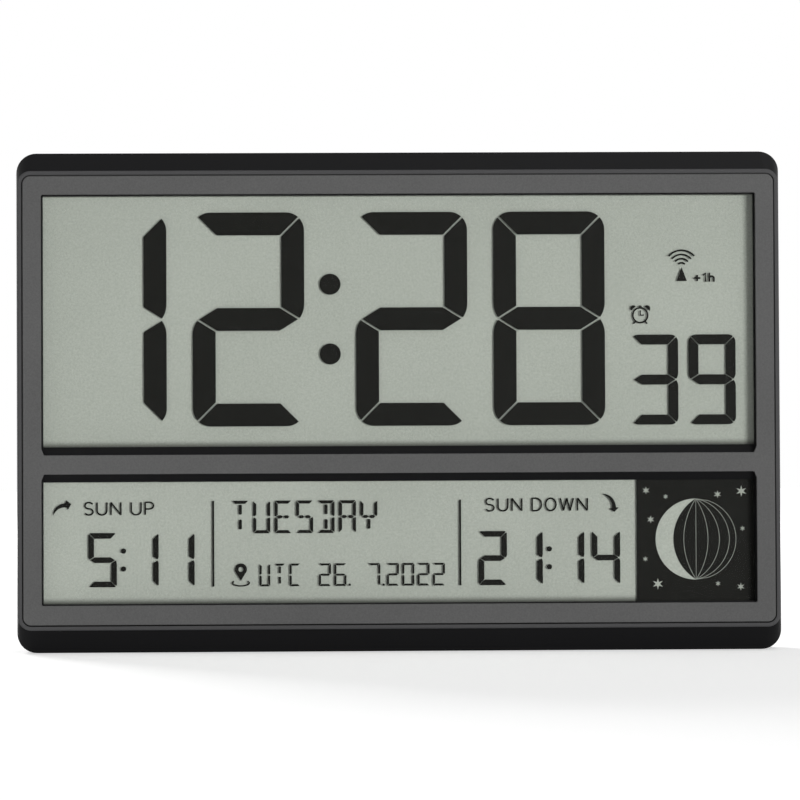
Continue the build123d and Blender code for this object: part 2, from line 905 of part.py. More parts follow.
with BuildPart() as main_board:
    with BuildSketch(layer(board_front)):
        with Locations((0, crossbar_middle)):
            Rectangle(board_width, board_height)
        with Locations(*board_screw_places):
            Circle(small_screw_radius + screw_hole_clearance, mode=Mode.SUBTRACT)
    extrude(amount=-board_thickness)
save(main_board, "main_board")

with BuildPart() as controller_chip:
    with BuildSketch(layer(board_back)):
        with Locations((chip_x, crossbar_middle)):
            Circle(chip_radius)
    extrude(amount=-chip_height)
    fillet(controller_chip.faces().sort_by(Axis.Y)[-1].edges(), chip_round)
save(controller_chip, "controller_chip")

with BuildPart() as tuning_crystal:
    with BuildSketch(Plane.YZ.offset(crystal_x)):
        with Locations((y_at(board_back + crystal_radius), crossbar_middle)):
            Circle(crystal_radius)
    extrude(amount=crystal_length)
save(tuning_crystal, "tuning_crystal")

with BuildPart() as capacitors:
    with BuildSketch(layer(board_back)):
        with Locations(*[(capacitor_x, crossbar_middle + side * capacitor_pitch / 2) for side in (-1, 1)]):
            Circle(capacitor_radius)
    extrude(amount=-capacitor_height)
save(capacitors, "capacitors")

with BuildPart() as tact_switches:
    with BuildSketch(layer(board_back)):
        with Locations(*button_places):
            Rectangle(tact_size, tact_size)
    extrude(amount=-tact_height)
    with BuildSketch(layer(tact_back)):
        with Locations(*button_places):
            Circle(plunger_radius + plunger_clearance)
    extrude(amount=plunger_engagement + button_travel + plunger_clearance, mode=Mode.SUBTRACT)
save(tact_switches, "tact_switches")

# Buttons: six caps held behind the back wall by a flange, each on the plunger of its switch
cap_back = case_depth - button_sink
flange_front = back_wall_front - button_flange_thickness
flange_width = button_width + 2 * button_flange
flange_height = button_height + 2 * button_flange

for name, place in zip(button_names, button_places):
    with BuildPart() as plunger:
        with BuildSketch(layer(plunger_back)):
            with Locations(place):
                Circle(plunger_radius)
        extrude(amount=plunger_height + plunger_engagement)
    save(plunger, f"{name}_plunger")

    with BuildPart() as button:
        with BuildSketch(layer(cap_back)):
            with Locations(place):
                RectangleRounded(button_width, button_height, button_corner)
        extrude(amount=cap_back - back_wall_front)
        fillet(button.faces().sort_by(Axis.Y)[-1].edges(), button_crown)
        with BuildSketch(layer(back_wall_front)):
            with Locations(place):
                RectangleRounded(flange_width, flange_height, button_corner + button_flange)
        extrude(amount=button_flange_thickness)
        with BuildSketch(layer(flange_front)):
            with Locations(place):
                Circle(button_stem_radius)
        extrude(amount=flange_front - plunger_back)
    save(button, f"{name}_button")

# Slide switch for the alarm: a body behind the back wall and a knob that runs in its channel
switch_z = button_places[-1][1] - switch_drop
channel_width = switch_foot_width + switch_travel + 2 * slide_clearance
channel_height = switch_foot_height + 2 * slide_clearance
channel_front = back_wall_front - switch_foot_depth - slide_clearance
knob_x = button_field_x - switch_travel / 2

with BuildPart() as alarm_switch_body:
    with BuildSketch(layer(back_wall_front)):
        with Locations((button_field_x, switch_z)):
            Rectangle(channel_width + 2 * switch_body_wall, channel_height + 2 * switch_body_wall)
    extrude(amount=back_wall_front - channel_front + switch_body_wall)
    with BuildSketch(layer(back_wall_front)):
        with Locations((button_field_x, switch_z)):
            Rectangle(channel_width, channel_height)
    extrude(amount=back_wall_front - channel_front, mode=Mode.SUBTRACT)
save(alarm_switch_body, "alarm_switch_body")

with BuildPart() as alarm_switch_knob:
    with BuildSketch(layer(back_wall_front)):
        with Locations((knob_x, switch_z)):
            Rectangle(switch_foot_width, switch_foot_height)
    extrude(amount=switch_foot_depth)
    with BuildSketch(layer(back_wall_front)):
        with Locations((knob_x, switch_z)):
            Rectangle(switch_knob_width, switch_knob_height)
    extrude(amount=back_wall_front - cap_back)
save(alarm_switch_knob, "alarm_switch_knob")

# Rear shell: black rear half with the battery bay, the stand recess, two keyholes, the button
# field, the buzzer grille and the screw wells
stand_back = case_depth - stand_sink
stand_front = stand_back - stand_thickness
hinge_depth = stand_front + knuckle_radius
pocket_floor = stand_front - stand_clearance
pocket_half = stand_width / 2 + stand_clearance
pocket_bottom = stand_tip_height - stand_pad_height - stand_end_clearance
pocket_top = stand_hinge_height + knuckle_radius + stand_end_clearance

above_board = crossbar_middle + board_height / 2 + bay_lift
above_stand = pocket_top + stand_pocket_wall + finger_notch_radius + cover_ledge
bay_half = (spring_room + cell_body_length + nub_length + plate_room) / 2
bay_bottom = max(above_board, above_stand)
bay_top = bay_bottom + len(cell_names) * cell_pitch
cover_front = case_depth - cover_sink - cover_thickness
cell_depth = cover_front - cell_head_room - cell_radius
bay_floor = cell_depth - cell_radius - cell_clearance
cover_half = bay_half + cover_ledge
cover_bottom = bay_bottom - cover_ledge
cover_top = bay_top + cover_ledge

keyhole_height = case_height - keyhole_drop
keyhole_places = [(side * keyhole_span / 2, keyhole_height) for side in (-1, 1)]
hanger_half = keyhole_entry_radius + keyhole_pocket_margin
hanger_length = 2 * hanger_half + keyhole_slot_length
hanger_front = back_wall_front - keyhole_pocket_depth
hanger_middles = [(x, z + keyhole_slot_length / 2) for x, z in keyhole_places]

well_radius = screw_head_ratio * case_screw_radius + well_clearance
buzzer_back = back_wall_front - buzzer_room
buzzer_ring_front = buzzer_back - buzzer_thickness - buzzer_guard
buzzer_hold = buzzer_radius + fit_clearance
antenna_height = case_height - antenna_drop
receiver_back = back_wall_front - receiver_stand
receiver_places = [(receiver_x + side * receiver_peg_span / 2, antenna_height) for side in (-1, 1)]
field_top = button_places[0][1] + button_height / 2 + field_margin
field_bottom = switch_z - switch_foot_height / 2 - field_margin
field_width = (button_columns - 1) * button_pitch_x + button_width + 2 * field_margin

with BuildPart() as rear_shell:
    with BuildSketch(layer(parting_depth)):
        case_outline()
    extrude(amount=parting_depth - case_depth)
    chamfer(rear_shell.faces().sort_by(Axis.Y)[0].edges(), seam_chamfer)
    fillet(rear_shell.faces().sort_by(Axis.Y)[-1].edges(), back_edge_round)
    with BuildSketch(layer(parting_depth)):
        case_outline(shell_wall)
    extrude(amount=parting_depth - back_wall_front, mode=Mode.SUBTRACT)
    with BuildSketch(layer(parting_depth)):
        with Locations(*case_screw_places):
            Circle(well_radius + well_wall)
    extrude(amount=parting_depth - back_wall_front)
    with BuildSketch(layer(bay_floor - bay_wall)):
        block(2 * (bay_half + bay_wall), bay_bottom - bay_wall, bay_top + bay_wall)
    extrude(amount=bay_floor - bay_wall - back_wall_front)
    with BuildSketch(layer(cover_front - cover_ledge_thickness)):
        block(2 * (cover_half + bay_wall), cover_bottom - bay_wall, cover_top + bay_wall)
    extrude(amount=cover_front - cover_ledge_thickness - back_wall_front)
    with BuildSketch(layer(pocket_floor - stand_pocket_wall)):
        pocket_shell = stand_pocket_wall
        block(2 * (pocket_half + pocket_shell), pocket_bottom - pocket_shell, pocket_top + pocket_shell)
    extrude(amount=pocket_floor - stand_pocket_wall - back_wall_front)
    with BuildSketch(layer(hanger_front - keyhole_pocket_wall)):
        with Locations(*hanger_middles):
            Rectangle(2 * (hanger_half + keyhole_pocket_wall), hanger_length + 2 * keyhole_pocket_wall)
    extrude(amount=hanger_front - keyhole_pocket_wall - back_wall_front)
    with BuildSketch(layer(buzzer_ring_front)):
        with Locations((buzzer_x, buzzer_height)):
            Circle(buzzer_hold + buzzer_wall)
    extrude(amount=buzzer_ring_front - back_wall_front)
    with BuildSketch(layer(receiver_back)):
        with Locations(*receiver_places):
            Circle(receiver_post_radius)
    extrude(amount=receiver_back - back_wall_front)
    with BuildSketch(layer(receiver_back)):
        with Locations(*receiver_places):
            Circle(receiver_peg_radius)
    extrude(amount=receiver_peg_length)
    with BuildSketch(layer(bay_floor)):
        block(2 * bay_half, bay_bottom, bay_top)
    extrude(amount=bay_floor - case_depth, mode=Mode.SUBTRACT)
    with BuildSketch(layer(case_depth)):
        cover_width = 2 * (cover_half + slide_clearance)
        rounded(cover_width, cover_bottom - slide_clearance, cover_top + slide_clearance, cover_corner)
    extrude(amount=case_depth - cover_front, mode=Mode.SUBTRACT)
    with BuildSketch(layer(case_depth)):
        with Locations((0, cover_bottom)):
            Circle(finger_notch_radius)
    extrude(amount=finger_notch_depth, mode=Mode.SUBTRACT)
    with BuildSketch(layer(case_depth)):
        block(2 * pocket_half, pocket_bottom, pocket_top)
    extrude(amount=case_depth - pocket_floor, mode=Mode.SUBTRACT)
    with BuildSketch(Plane.YZ.offset(-pocket_half - stand_pocket_wall)):
        with Locations((y_at(hinge_depth), stand_hinge_height)):
            Circle(stand_pin_radius + stand_pin_clearance)
    extrude(amount=2 * (pocket_half + stand_pocket_wall), mode=Mode.SUBTRACT)
    with BuildSketch(layer(hanger_front)):
        with Locations(*hanger_middles):
            Rectangle(2 * hanger_half, hanger_length)
    extrude(amount=-keyhole_pocket_depth, mode=Mode.SUBTRACT)
    with BuildSketch(layer(back_wall_front)):
        with Locations(*keyhole_places):
            Circle(keyhole_entry_radius)
        with Locations(*hanger_middles):
            Rectangle(2 * keyhole_slot_radius, keyhole_slot_length)
        with Locations(*[(x, z + keyhole_slot_length) for x, z in keyhole_places]):
            Circle(keyhole_slot_radius)
    extrude(amount=-shell_wall, mode=Mode.SUBTRACT)
    with BuildSketch(layer(buzzer_ring_front)):
        with Locations((buzzer_x, buzzer_height)):
            Circle(buzzer_hold)
    extrude(amount=buzzer_ring_front - buzzer_back, mode=Mode.SUBTRACT)
    with BuildSketch(layer(buzzer_back)):
        with Locations((buzzer_x, buzzer_height)):
            Circle(buzzer_radius - buzzer_ledge)
    extrude(amount=-buzzer_room, mode=Mode.SUBTRACT)
    with BuildSketch(layer(back_wall_front)):
        with Locations((buzzer_x, buzzer_height)):
            Circle(grille_hole_radius)
            with PolarLocations(grille_ring_radius, grille_ring_count):
                Circle(grille_hole_radius)
            with PolarLocations(2 * grille_ring_radius, 2 * grille_ring_count):
                Circle(grille_hole_radius)
    extrude(amount=-shell_wall, mode=Mode.SUBTRACT)
    with BuildSketch(layer(parting_depth)):
        with Locations(*case_screw_places):
            Circle(case_screw_radius + screw_hole_clearance)
    extrude(amount=-case_screw_seat, mode=Mode.SUBTRACT)
    with BuildSketch(layer(case_screw_seat_depth)):
        with Locations(*case_screw_places):
            Circle(well_radius)
    extrude(amount=case_screw_seat_depth - case_depth, mode=Mode.SUBTRACT)
    with BuildSketch(layer(case_depth)):
        with Locations((button_field_x, (field_bottom + field_top) / 2)):
            RectangleRounded(field_width, field_top - field_bottom, field_corner)
    extrude(amount=field_depth, mode=Mode.SUBTRACT)
    with BuildSketch(layer(case_depth)):
        with Locations(*button_places):
            hole_width = button_width + 2 * slide_clearance
            RectangleRounded(hole_width, button_height + 2 * slide_clearance, button_corner + slide_clearance)
        with Locations((button_field_x, switch_z)):
            slot_reach_x = switch_knob_width + switch_travel + 2 * slide_clearance
            Rectangle(slot_reach_x, switch_knob_height + 2 * slide_clearance)
    extrude(amount=shell_wall, mode=Mode.SUBTRACT)
save(rear_shell, "rear_shell")

# Battery cover: flush plate with a locating skirt and a springy latch tongue with grip grooves
with BuildPart() as battery_cover:
    with BuildSketch(layer(cover_front)):
        rounded(2 * cover_half, cover_bottom, cover_top, cover_corner)
    extrude(amount=-cover_thickness)
    skirt_half = bay_half - fit_clearance
    skirt_bottom = bay_bottom + fit_clearance
    skirt_top = bay_top - fit_clearance
    with BuildSketch(layer(cover_front)):
        block(2 * skirt_half, skirt_bottom, skirt_top)
        inner = cover_skirt
        block(2 * (skirt_half - inner), skirt_bottom + inner, skirt_top - inner, Mode.SUBTRACT)
    extrude(amount=cover_skirt_height)
    with BuildSketch(layer(cover_front - cover_skirt_height)):
        with Locations(*[(side * latch_width / 2, cover_bottom + latch_length / 2) for side in (-1, 1)]):
            Rectangle(latch_slit, latch_length)
    extrude(amount=-cover_skirt_height - cover_thickness, mode=Mode.SUBTRACT)
    with BuildSketch(layer(case_depth - cover_sink)):
        with Locations((0, cover_bottom + latch_length / 2)):
            with GridLocations(0, grip_pitch, 1, grip_count):
                Rectangle(latch_width / 2, grip_width)
    extrude(amount=grip_depth, mode=Mode.SUBTRACT)
save(battery_cover, "battery_cover")

# Battery cells, turned end for end in turn, with a leaf at each flat end and a plate at each nub
cell_heights = [bay_bottom + (place + 0.5) * cell_pitch for place in range(len(cell_names))]
cell_turns = [1 - 2 * (place % 2) for place in range(len(cell_names))]
cell_y = y_at(cell_depth)

for name, height, turn in zip(cell_names, cell_heights, cell_turns):
    with BuildPart() as cell:
        with BuildSketch(Plane.YZ.offset(turn * (spring_room - bay_half))):
            with Locations((cell_y, height)):
                Circle(cell_radius)
        extrude(amount=turn * cell_body_length)
        fillet(cell.edges(), cell_edge_round)
        with BuildSketch(Plane.YZ.offset(turn * (bay_half - plate_room))):
            with Locations((cell_y, height)):
                Circle(nub_radius)
        extrude(amount=-turn * (nub_length + cell_edge_round))
    save(cell, f"{name}_cell")

with BuildPart() as negative_contacts:
    for height, turn in zip(cell_heights, cell_turns):
        wall_x = turn * (contact_thickness / 2 - bay_half)
        tip_x = turn * (spring_room - bay_half - contact_touch - contact_thickness)
        with BuildSketch(Plane.XY.offset(height - contact_width / 2)):
            with BuildLine():
                Polyline(
                    (wall_x, cell_y - contact_height / 2),
                    (wall_x, cell_y + contact_height / 2),
                    (tip_x, cell_y),
                    (wall_x + turn * 2 * contact_thickness, cell_y - contact_height / 4),
                )
            trace(line_width=contact_thickness)
        extrude(amount=contact_width)
save(negative_contacts, "negative_contacts")

with BuildPart() as positive_contacts:
    for height, turn in zip(cell_heights, cell_turns):
        with BuildSketch(Plane.YZ.offset(turn * bay_half)):
            with Locations((cell_y, height)):
                Rectangle(contact_height, contact_width)
        extrude(amount=-turn * contact_thickness)
        with BuildSketch(Plane.YZ.offset(turn * bay_half)):
            with Locations((cell_y, height)):
                Circle(nub_radius)
        extrude(amount=-turn * (plate_room - contact_touch))
save(positive_contacts, "positive_contacts")

# Stand: ribbed flap on a steel pin, with a finger notch and two rubber pads at its tip
hinge_place = (y_at(hinge_depth), stand_hinge_height)
rib_spacing = stand_width / (stand_rib_count + 1)
rib_bottom = stand_tip_height + stand_notch_height

with BuildPart() as stand:
    with BuildSketch(layer(stand_back)) as flap:
        block(stand_width, stand_tip_height, stand_hinge_height)
        fillet(flap.vertices().group_by(Axis.Y)[0], stand_corner)
        with Locations((0, stand_tip_height)):
            SlotOverall(2 * stand_notch_height, stand_notch_width, rotation=90, mode=Mode.SUBTRACT)
    extrude(amount=stand_skin)
    with BuildSketch(layer(stand_back)):
        add(flap.sketch)
        offset(amount=-stand_rib, mode=Mode.SUBTRACT)
    extrude(amount=stand_thickness)
    with BuildSketch(layer(stand_back)):
        with Locations((0, (rib_bottom + stand_hinge_height) / 2)):
            with GridLocations(rib_spacing, 0, stand_rib_count, 1):
                Rectangle(stand_rib, stand_hinge_height - rib_bottom)
    extrude(amount=stand_thickness)
    with BuildSketch(Plane.YZ.offset(-stand_width / 2)):
        with Locations(hinge_place):
            Circle(knuckle_radius)
    extrude(amount=stand_width)
    with BuildSketch(Plane.YZ.offset(-stand_width / 2)):
        with Locations(hinge_place):
            Circle(stand_pin_radius + stand_pin_clearance)
    extrude(amount=stand_width, mode=Mode.SUBTRACT)
save(stand, "stand")

with BuildPart() as stand_pin:
    with BuildSketch(Plane.YZ.offset(-pocket_half - stand_pocket_wall)):
        with Locations(hinge_place):
            Circle(stand_pin_radius)
    extrude(amount=2 * (pocket_half + stand_pocket_wall))
save(stand_pin, "stand_pin")

with BuildPart() as stand_pad:
    pad_x = (stand_notch_width / 2 + stand_width / 2 - stand_corner) / 2
    pad_y = y_at((stand_front + stand_back) / 2)
    with BuildSketch(Plane.XY.offset(stand_tip_height)):
        with Locations((-pad_x, pad_y), (pad_x, pad_y)):
            Rectangle(stand_pad_width, stand_thickness - 2 * stand_pad_inset)
    extrude(amount=-stand_pad_height)
    fillet(stand_pad.edges().group_by(Axis.Z)[0], stand_pad_round)
save(stand_pad, "stand_pad")

# Radio receiver: a ferrite rod with its coil in two clips on the back wall, and a small board
antenna_depth = back_wall_front - antenna_back_room
antenna_place = (y_at(antenna_depth), antenna_height)
clip_radius = antenna_radius + clip_rim

with BuildPart() as antenna_rod:
    with BuildSketch(Plane.YZ.offset(-antenna_length / 2)):
        with Locations(antenna_place):
            Circle(antenna_radius)
    extrude(amount=antenna_length)
save(antenna_rod, "antenna_rod")

with BuildPart() as antenna_coil:
    with BuildSketch(Plane.YZ.offset(-coil_length / 2)):
        with Locations(antenna_place):
            Circle(coil_radius)
            Circle(antenna_radius + antenna_clearance, mode=Mode.SUBTRACT)
    extrude(amount=coil_length)
save(antenna_coil, "antenna_coil")

with BuildPart() as antenna_clips:
    for clip_x in (-clip_span / 2, clip_span / 2):
        with BuildSketch(Plane.YZ.offset(clip_x - clip_thickness / 2)):
            with Locations(antenna_place):
                Circle(clip_radius)
            with Locations((y_at((antenna_depth + back_wall_front) / 2), antenna_height)):
                Rectangle(antenna_back_room, 2 * clip_radius)
            with Locations(antenna_place):
                Circle(antenna_radius + antenna_clearance, mode=Mode.SUBTRACT)
        extrude(amount=clip_thickness)
save(antenna_clips, "antenna_clips")

with BuildPart() as receiver_board:
    with BuildSketch(layer(receiver_back)):
        with Locations((receiver_x, antenna_height)):
            Rectangle(receiver_width, receiver_height)
        with Locations(*receiver_places):
            Circle(receiver_peg_radius + peg_clearance, mode=Mode.SUBTRACT)
    extrude(amount=receiver_thickness)
save(receiver_board, "receiver_board")

# Buzzer: a thin brass disc on a ledge behind the grille
with BuildPart() as buzzer_disc:
    with BuildSketch(layer(buzzer_back)):
        with Locations((buzzer_x, buzzer_height)):
            Circle(buzzer_radius)
    extrude(amount=buzzer_thickness)
save(buzzer_disc, "buzzer_disc")
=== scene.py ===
from math import cos, dist, radians, sin

import bpy
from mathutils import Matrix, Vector


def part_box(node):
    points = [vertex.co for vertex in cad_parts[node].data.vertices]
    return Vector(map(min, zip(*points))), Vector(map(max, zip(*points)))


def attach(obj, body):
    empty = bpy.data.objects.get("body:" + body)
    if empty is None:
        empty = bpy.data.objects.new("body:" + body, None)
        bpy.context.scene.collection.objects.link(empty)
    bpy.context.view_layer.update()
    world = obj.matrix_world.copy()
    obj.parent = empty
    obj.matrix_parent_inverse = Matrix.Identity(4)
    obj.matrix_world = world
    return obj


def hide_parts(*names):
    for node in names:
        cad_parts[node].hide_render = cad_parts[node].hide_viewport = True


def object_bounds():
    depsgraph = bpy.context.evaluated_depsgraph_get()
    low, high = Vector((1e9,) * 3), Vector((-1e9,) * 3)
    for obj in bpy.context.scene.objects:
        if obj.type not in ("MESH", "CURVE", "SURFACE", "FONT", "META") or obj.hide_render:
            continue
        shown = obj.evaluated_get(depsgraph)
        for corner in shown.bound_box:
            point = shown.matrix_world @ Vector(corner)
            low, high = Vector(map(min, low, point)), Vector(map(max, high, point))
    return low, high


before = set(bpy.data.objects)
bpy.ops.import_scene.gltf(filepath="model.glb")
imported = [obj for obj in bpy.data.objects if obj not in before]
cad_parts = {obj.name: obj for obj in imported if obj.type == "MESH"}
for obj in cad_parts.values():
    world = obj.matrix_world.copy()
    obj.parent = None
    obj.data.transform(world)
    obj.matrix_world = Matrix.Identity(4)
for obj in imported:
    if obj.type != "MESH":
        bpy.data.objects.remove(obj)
cad_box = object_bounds()
bpy.ops.object.select_all(action="DESELECT")


# Front shell: the black front half of the case, moulded in one piece with a sloped band above and
# below the bezel. Its mould was spark eroded, which leaves a fine even grain with a soft gloss.
mm = 0.001
bump_strength = 0.5
speck_share = 0.7
cloud_size = 40.0
rough_spread = 0.12


class Value:
    """A socket of a finish; sums, differences and products of it add Math nodes."""

    def __init__(self, finish, socket):
        self.finish = finish
        self.socket = socket

    def math(self, operation, first, second=0.0):
        return self.finish.node("ShaderNodeMath", {"operation": operation}, {0: first, 1: second})

    def __add__(self, other):
        return self.math("ADD", self, other)

    __radd__ = __add__

    def __sub__(self, other):
        return self.math("SUBTRACT", self, other)

    def __rsub__(self, other):
        return self.math("SUBTRACT", other, self)

    def __mul__(self, other):
        return self.math("MULTIPLY", self, other)

    __rmul__ = __mul__

    def __abs__(self):
        return self.math("ABSOLUTE", self)

    def larger(self, other):
        return self.math("MAXIMUM", self, other)

    def root(self):
        return self.math("SQRT", self)

    def step(self, low, high):
        """0 at low and 1 at high, eased between them."""
        return self.finish.node(
            "ShaderNodeMapRange", {"interpolation_type": "SMOOTHSTEP"}, {0: self, 1: low, 2: high}
        )


class Finish:
    """A procedural finish: the shader of a material or a world, fed by nodes."""

    def __init__(self, owner, shader="Principled BSDF"):
        owner.use_nodes = True
        self.owner = owner
        self.tree = owner.node_tree
        self.shader = self.tree.nodes[shader]

    def node(self, kind, settings=None, sockets=None, output=0):
        """A node with its settings, then its sockets' values or links; one of its outputs."""
        made = self.tree.nodes.new(kind)
        for name, value in (settings or {}).items():
            setattr(made, name, value)
        for name, value in (sockets or {}).items():
            self.join(made.inputs[name], value)
        return Value(self, made.outputs[output])

    def join(self, socket, value):
        if isinstance(value, Value):
            self.tree.links.new(value.socket, socket)
        else:
            socket.default_value = value

    def shade(self, sockets):
        for name, value in sockets.items():
            self.join(self.shader.inputs[name], value)

    def place(self):
        """Object coordinates, in metres."""
        return self.node("ShaderNodeTexCoord", output="Object")

    def axis(self, letter):
        """One Object coordinate."""
        return self.node("ShaderNodeSeparateXYZ", sockets={0: self.place()}, output=letter)

    def noise(self, size, detail=2.0):
        """Even noise whose patches are about a size in millimetres across."""
        return self.node(
            "ShaderNodeTexNoise",
            sockets={"Vector": self.place(), "Scale": 1 / (size * mm), "Detail": detail},
        )

    def mix(self, share, first, second):
        """Colour between two colours."""
        return self.node("ShaderNodeMix", {"data_type": "RGBA"}, {0: share, 6: first, 7: second}, output=2)

    def bump(self, height, depth):
        """Relief of a depth in millimetres."""
        return self.node(
            "ShaderNodeBump", sockets={"Strength": bump_strength, "Distance": depth * mm, "Height": height}
        )


def paint(red, green, blue):
    """Screen colour from 0 to 255, as the linear colour a shader takes."""
    shares = [channel / 255 for channel in (red, green, blue)]
    return (*[((share + 0.055) / 1.055) ** 2.4 if share > 0.04 else share / 12.92 for share in shares], 1)


def grained(finish, tone, vary, grain):
    """Colour that varies a little over a fine grain and wide clouds, and the grain."""
    speck = finish.noise(grain, detail=3.0)
    cloud = finish.noise(cloud_size, detail=1.0)
    dark = (*[channel * (1 - vary) for channel in tone[:3]], 1)
    light = (*[channel * (1 + vary) for channel in tone[:3]], 1)
    return finish.mix(speck_share * speck + (1 - speck_share) * cloud, dark, light), speck


def moulded(name, tone, vary=0.1, rough=0.5, grain=0.5, depth=0.02, gloss=0.05):
    """Moulded plastic or rubber with a matt grain."""
    finish = Finish(bpy.data.materials.new(name))
    finish.colour, speck = grained(finish, tone, vary, grain)
    finish.shade(
        {
            "Base Color": finish.colour,
            "Roughness": rough - rough_spread / 2 + rough_spread * speck,
            "Specular IOR Level": gloss,
            "Normal": finish.bump(speck, depth),
        }
    )
    return finish


def dress(finish, *names):
    """Give CAD pieces a finish."""
    for name in names:
        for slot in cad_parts[name].material_slots:
            slot.material = finish.owner


dress(moulded("case_black", paint(22, 22, 23), vary=0.12, rough=0.46, grain=0.4), "front_shell")

# Front bezel: a grey moulded plate with two windows and a face that is set off from a low smooth rim by a
# groove. The rim is painted a darker grey than the face, as painted shade of its rounded edge. The groove is
# painted dark grey as painted shade, and its bottom run and the window walls near black as deeper painted
# shade.
bezel_corner = 6.3 * mm
rim_width = 1.9 * mm
# Painted shade of the rim's rounded edge: a darker grey than the face of the same plate.
rim_painted_shade = paint(75, 75, 76)
rim_blur = 0.05 * mm
groove_width = 0.7 * mm
groove_start = 0.5 * mm
groove_floor = 1.0 * mm
bottom_run = 2 * rim_width
# Painted shade of the groove: dark grey in the groove, near black along its bottom run and on the window
# walls.
groove_painted_shade = paint(46, 46, 46)
deep_painted_shade = paint(12, 12, 12)
bezel_low, bezel_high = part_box("front_bezel")
bezel_middle = (bezel_low + bezel_high) / 2
bezel_reach = (bezel_high - bezel_low) / 2

bezel_grey = moulded("bezel_grey", paint(91, 91, 91), vary=0.3, rough=0.52, grain=0.8, depth=0.012)
past_side = (abs(bezel_grey.axis("X") - bezel_middle.x) - (bezel_reach.x - bezel_corner)).larger(0.0)
past_end = (abs(bezel_grey.axis("Z") - bezel_middle.z) - (bezel_reach.z - bezel_corner)).larger(0.0)
inset = bezel_corner - (past_side * past_side + past_end * past_end).root()
inside_rim = inset.step(rim_width - rim_blur, rim_width + rim_blur)
sunk = bezel_grey.axis("Y").step(bezel_low.y + groove_start, bezel_low.y + groove_floor)
above_bottom = bezel_grey.axis("Z").step(bezel_low.z + bottom_run, bezel_low.z + bottom_run + rim_width)
past_groove = inset.step(rim_width + groove_width, rim_width + 2 * groove_width)
rim_or_face = bezel_grey.mix(inside_rim, rim_painted_shade, bezel_grey.colour)
painted_groove_shade = bezel_grey.mix(above_bottom * (1 - past_groove), deep_painted_shade, groove_painted_shade)
bezel_grey.shade({"Base Color": bezel_grey.mix(inside_rim * sunk, rim_or_face, painted_groove_shade)})
dress(bezel_grey, "front_bezel")

# Foam gaskets: two thin frames, die-cut from black foam. They are pinched between the front shell
# and the rims of the displays, and keep the dust out.
foam_black = moulded("foam_black", paint(26, 26, 26), vary=0.3, rough=0.9, grain=0.5, depth=0.1)
dress(foam_black, "display_gaskets")

# Reflector films: grey-green films glued behind the two displays. They give the displays their colour and a
# fine sparkle, and a painted shade darkens them to a dark edge along the bottom of the window.
# Painted shade along the bottom of each window: its tone, its reach and how far below the window's bottom it
# starts.
film_painted_shade = paint(73, 75, 70)
painted_shade_reach = 3.4 * mm
painted_shade_below = 0.2 * painted_shade_reach
film_cloud_size = 60.0
sparkle_size = 0.9
sparkle_share = 0.75
sparkle_gloss = 0.1
film_rough = 0.75


def film(name, window_bottom, dark, light):
    """Film with a fine grain of two tones, and painted shade towards the bottom of its window."""
    finish = Finish(bpy.data.materials.new(name))
    sparkle = finish.noise(sparkle_size)
    cloud = finish.noise(film_cloud_size, detail=1.0)
    lit = finish.mix(sparkle_share * sparkle + (1 - sparkle_share) * cloud, dark, light)
    bottom_painted_shade = 1 - finish.axis("Z").step(window_bottom - painted_shade_below, window_bottom + painted_shade_reach)
    finish.shade(
        {
            "Base Color": finish.mix(bottom_painted_shade, lit, film_painted_shade),
            "Roughness": film_rough - sparkle_gloss * sparkle,
            "Specular IOR Level": 0.05,
            "Normal": finish.bump(sparkle, 0.01),
        }
    )
    return finish


upper_window_bottom = 98.8 * mm
lower_window_bottom = 23.6 * mm
time_film = film("time_film", upper_window_bottom, paint(147, 153, 143), paint(196, 202, 192))
dress(time_film, "time_reflector")
# The lower film is painted a shade lighter than the upper one, as painted light that makes up for the shade
# of its low recessed window.
info_film = film("info_film", lower_window_bottom, paint(151, 157, 147), paint(201, 207, 197))
dress(info_film, "info_reflector")

# Display glass: two thin ground panes for each display, with a hair of space to the bars between
# them. The front one carries a matt polariser, so it hardly mirrors the room, and both let the
# shadows of the dark bars fall on the film behind.
pane_space = Vector((0.05, 0.05, 0.05)) * mm
pane_edge = 0.2 * mm
pane_looks = {"front": (0.010, 0.35), "rear": (0.005, 0.2)}
haze_size = 0.8
haze_dark = paint(110, 116, 108)
haze_light = paint(130, 135, 128)
haze_spread = 0.4
haze_rough = 0.1


def ride_on(piece, name, finish, body="case"):
    """Name a new piece, give it its finish and let it ride on a body."""
    piece.name = name
    piece.data.name = name
    piece.data.materials.clear()
    piece.data.materials.append(finish.owner)
    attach(piece, body)
    return piece


def slab(name, low, high, edge, finish):
    """Flat block with bevelled edges between two corners."""
    bpy.ops.object.select_all(action="DESELECT")
    bpy.ops.mesh.primitive_cube_add(size=1.0, location=(low + high) / 2)
    block = bpy.context.object
    block.scale = high - low
    bpy.ops.object.transform_apply(location=True, rotation=True, scale=True)
    bpy.ops.object.mode_set(mode="EDIT")
    bpy.ops.mesh.select_all(action="SELECT")
    bpy.ops.mesh.bevel(offset=edge, segments=2, affect="EDGES")
    bpy.ops.object.mode_set(mode="OBJECT")
    return ride_on(block, name, finish)


for side, (alpha, rough) in pane_looks.items():
    clear = Finish(bpy.data.materials.new(f"{side}_pane_glass"))
    haze = clear.noise(haze_size)
    clear.shade(
        {
            "Base Color": clear.mix(haze, haze_dark, haze_light),
            "Roughness": rough + haze_rough * haze,
            "Alpha": alpha * (1 - haze_spread / 2) + alpha * haze_spread * haze,
        }
    )
    for display in ("time", "info"):
        node = f"{display}_{side}_glass"
        low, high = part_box(node)
        name = f"{display}_{side}_pane"
        pane = slab(name, low + pane_space, high - pane_space, pane_edge, clear)
        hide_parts(node)

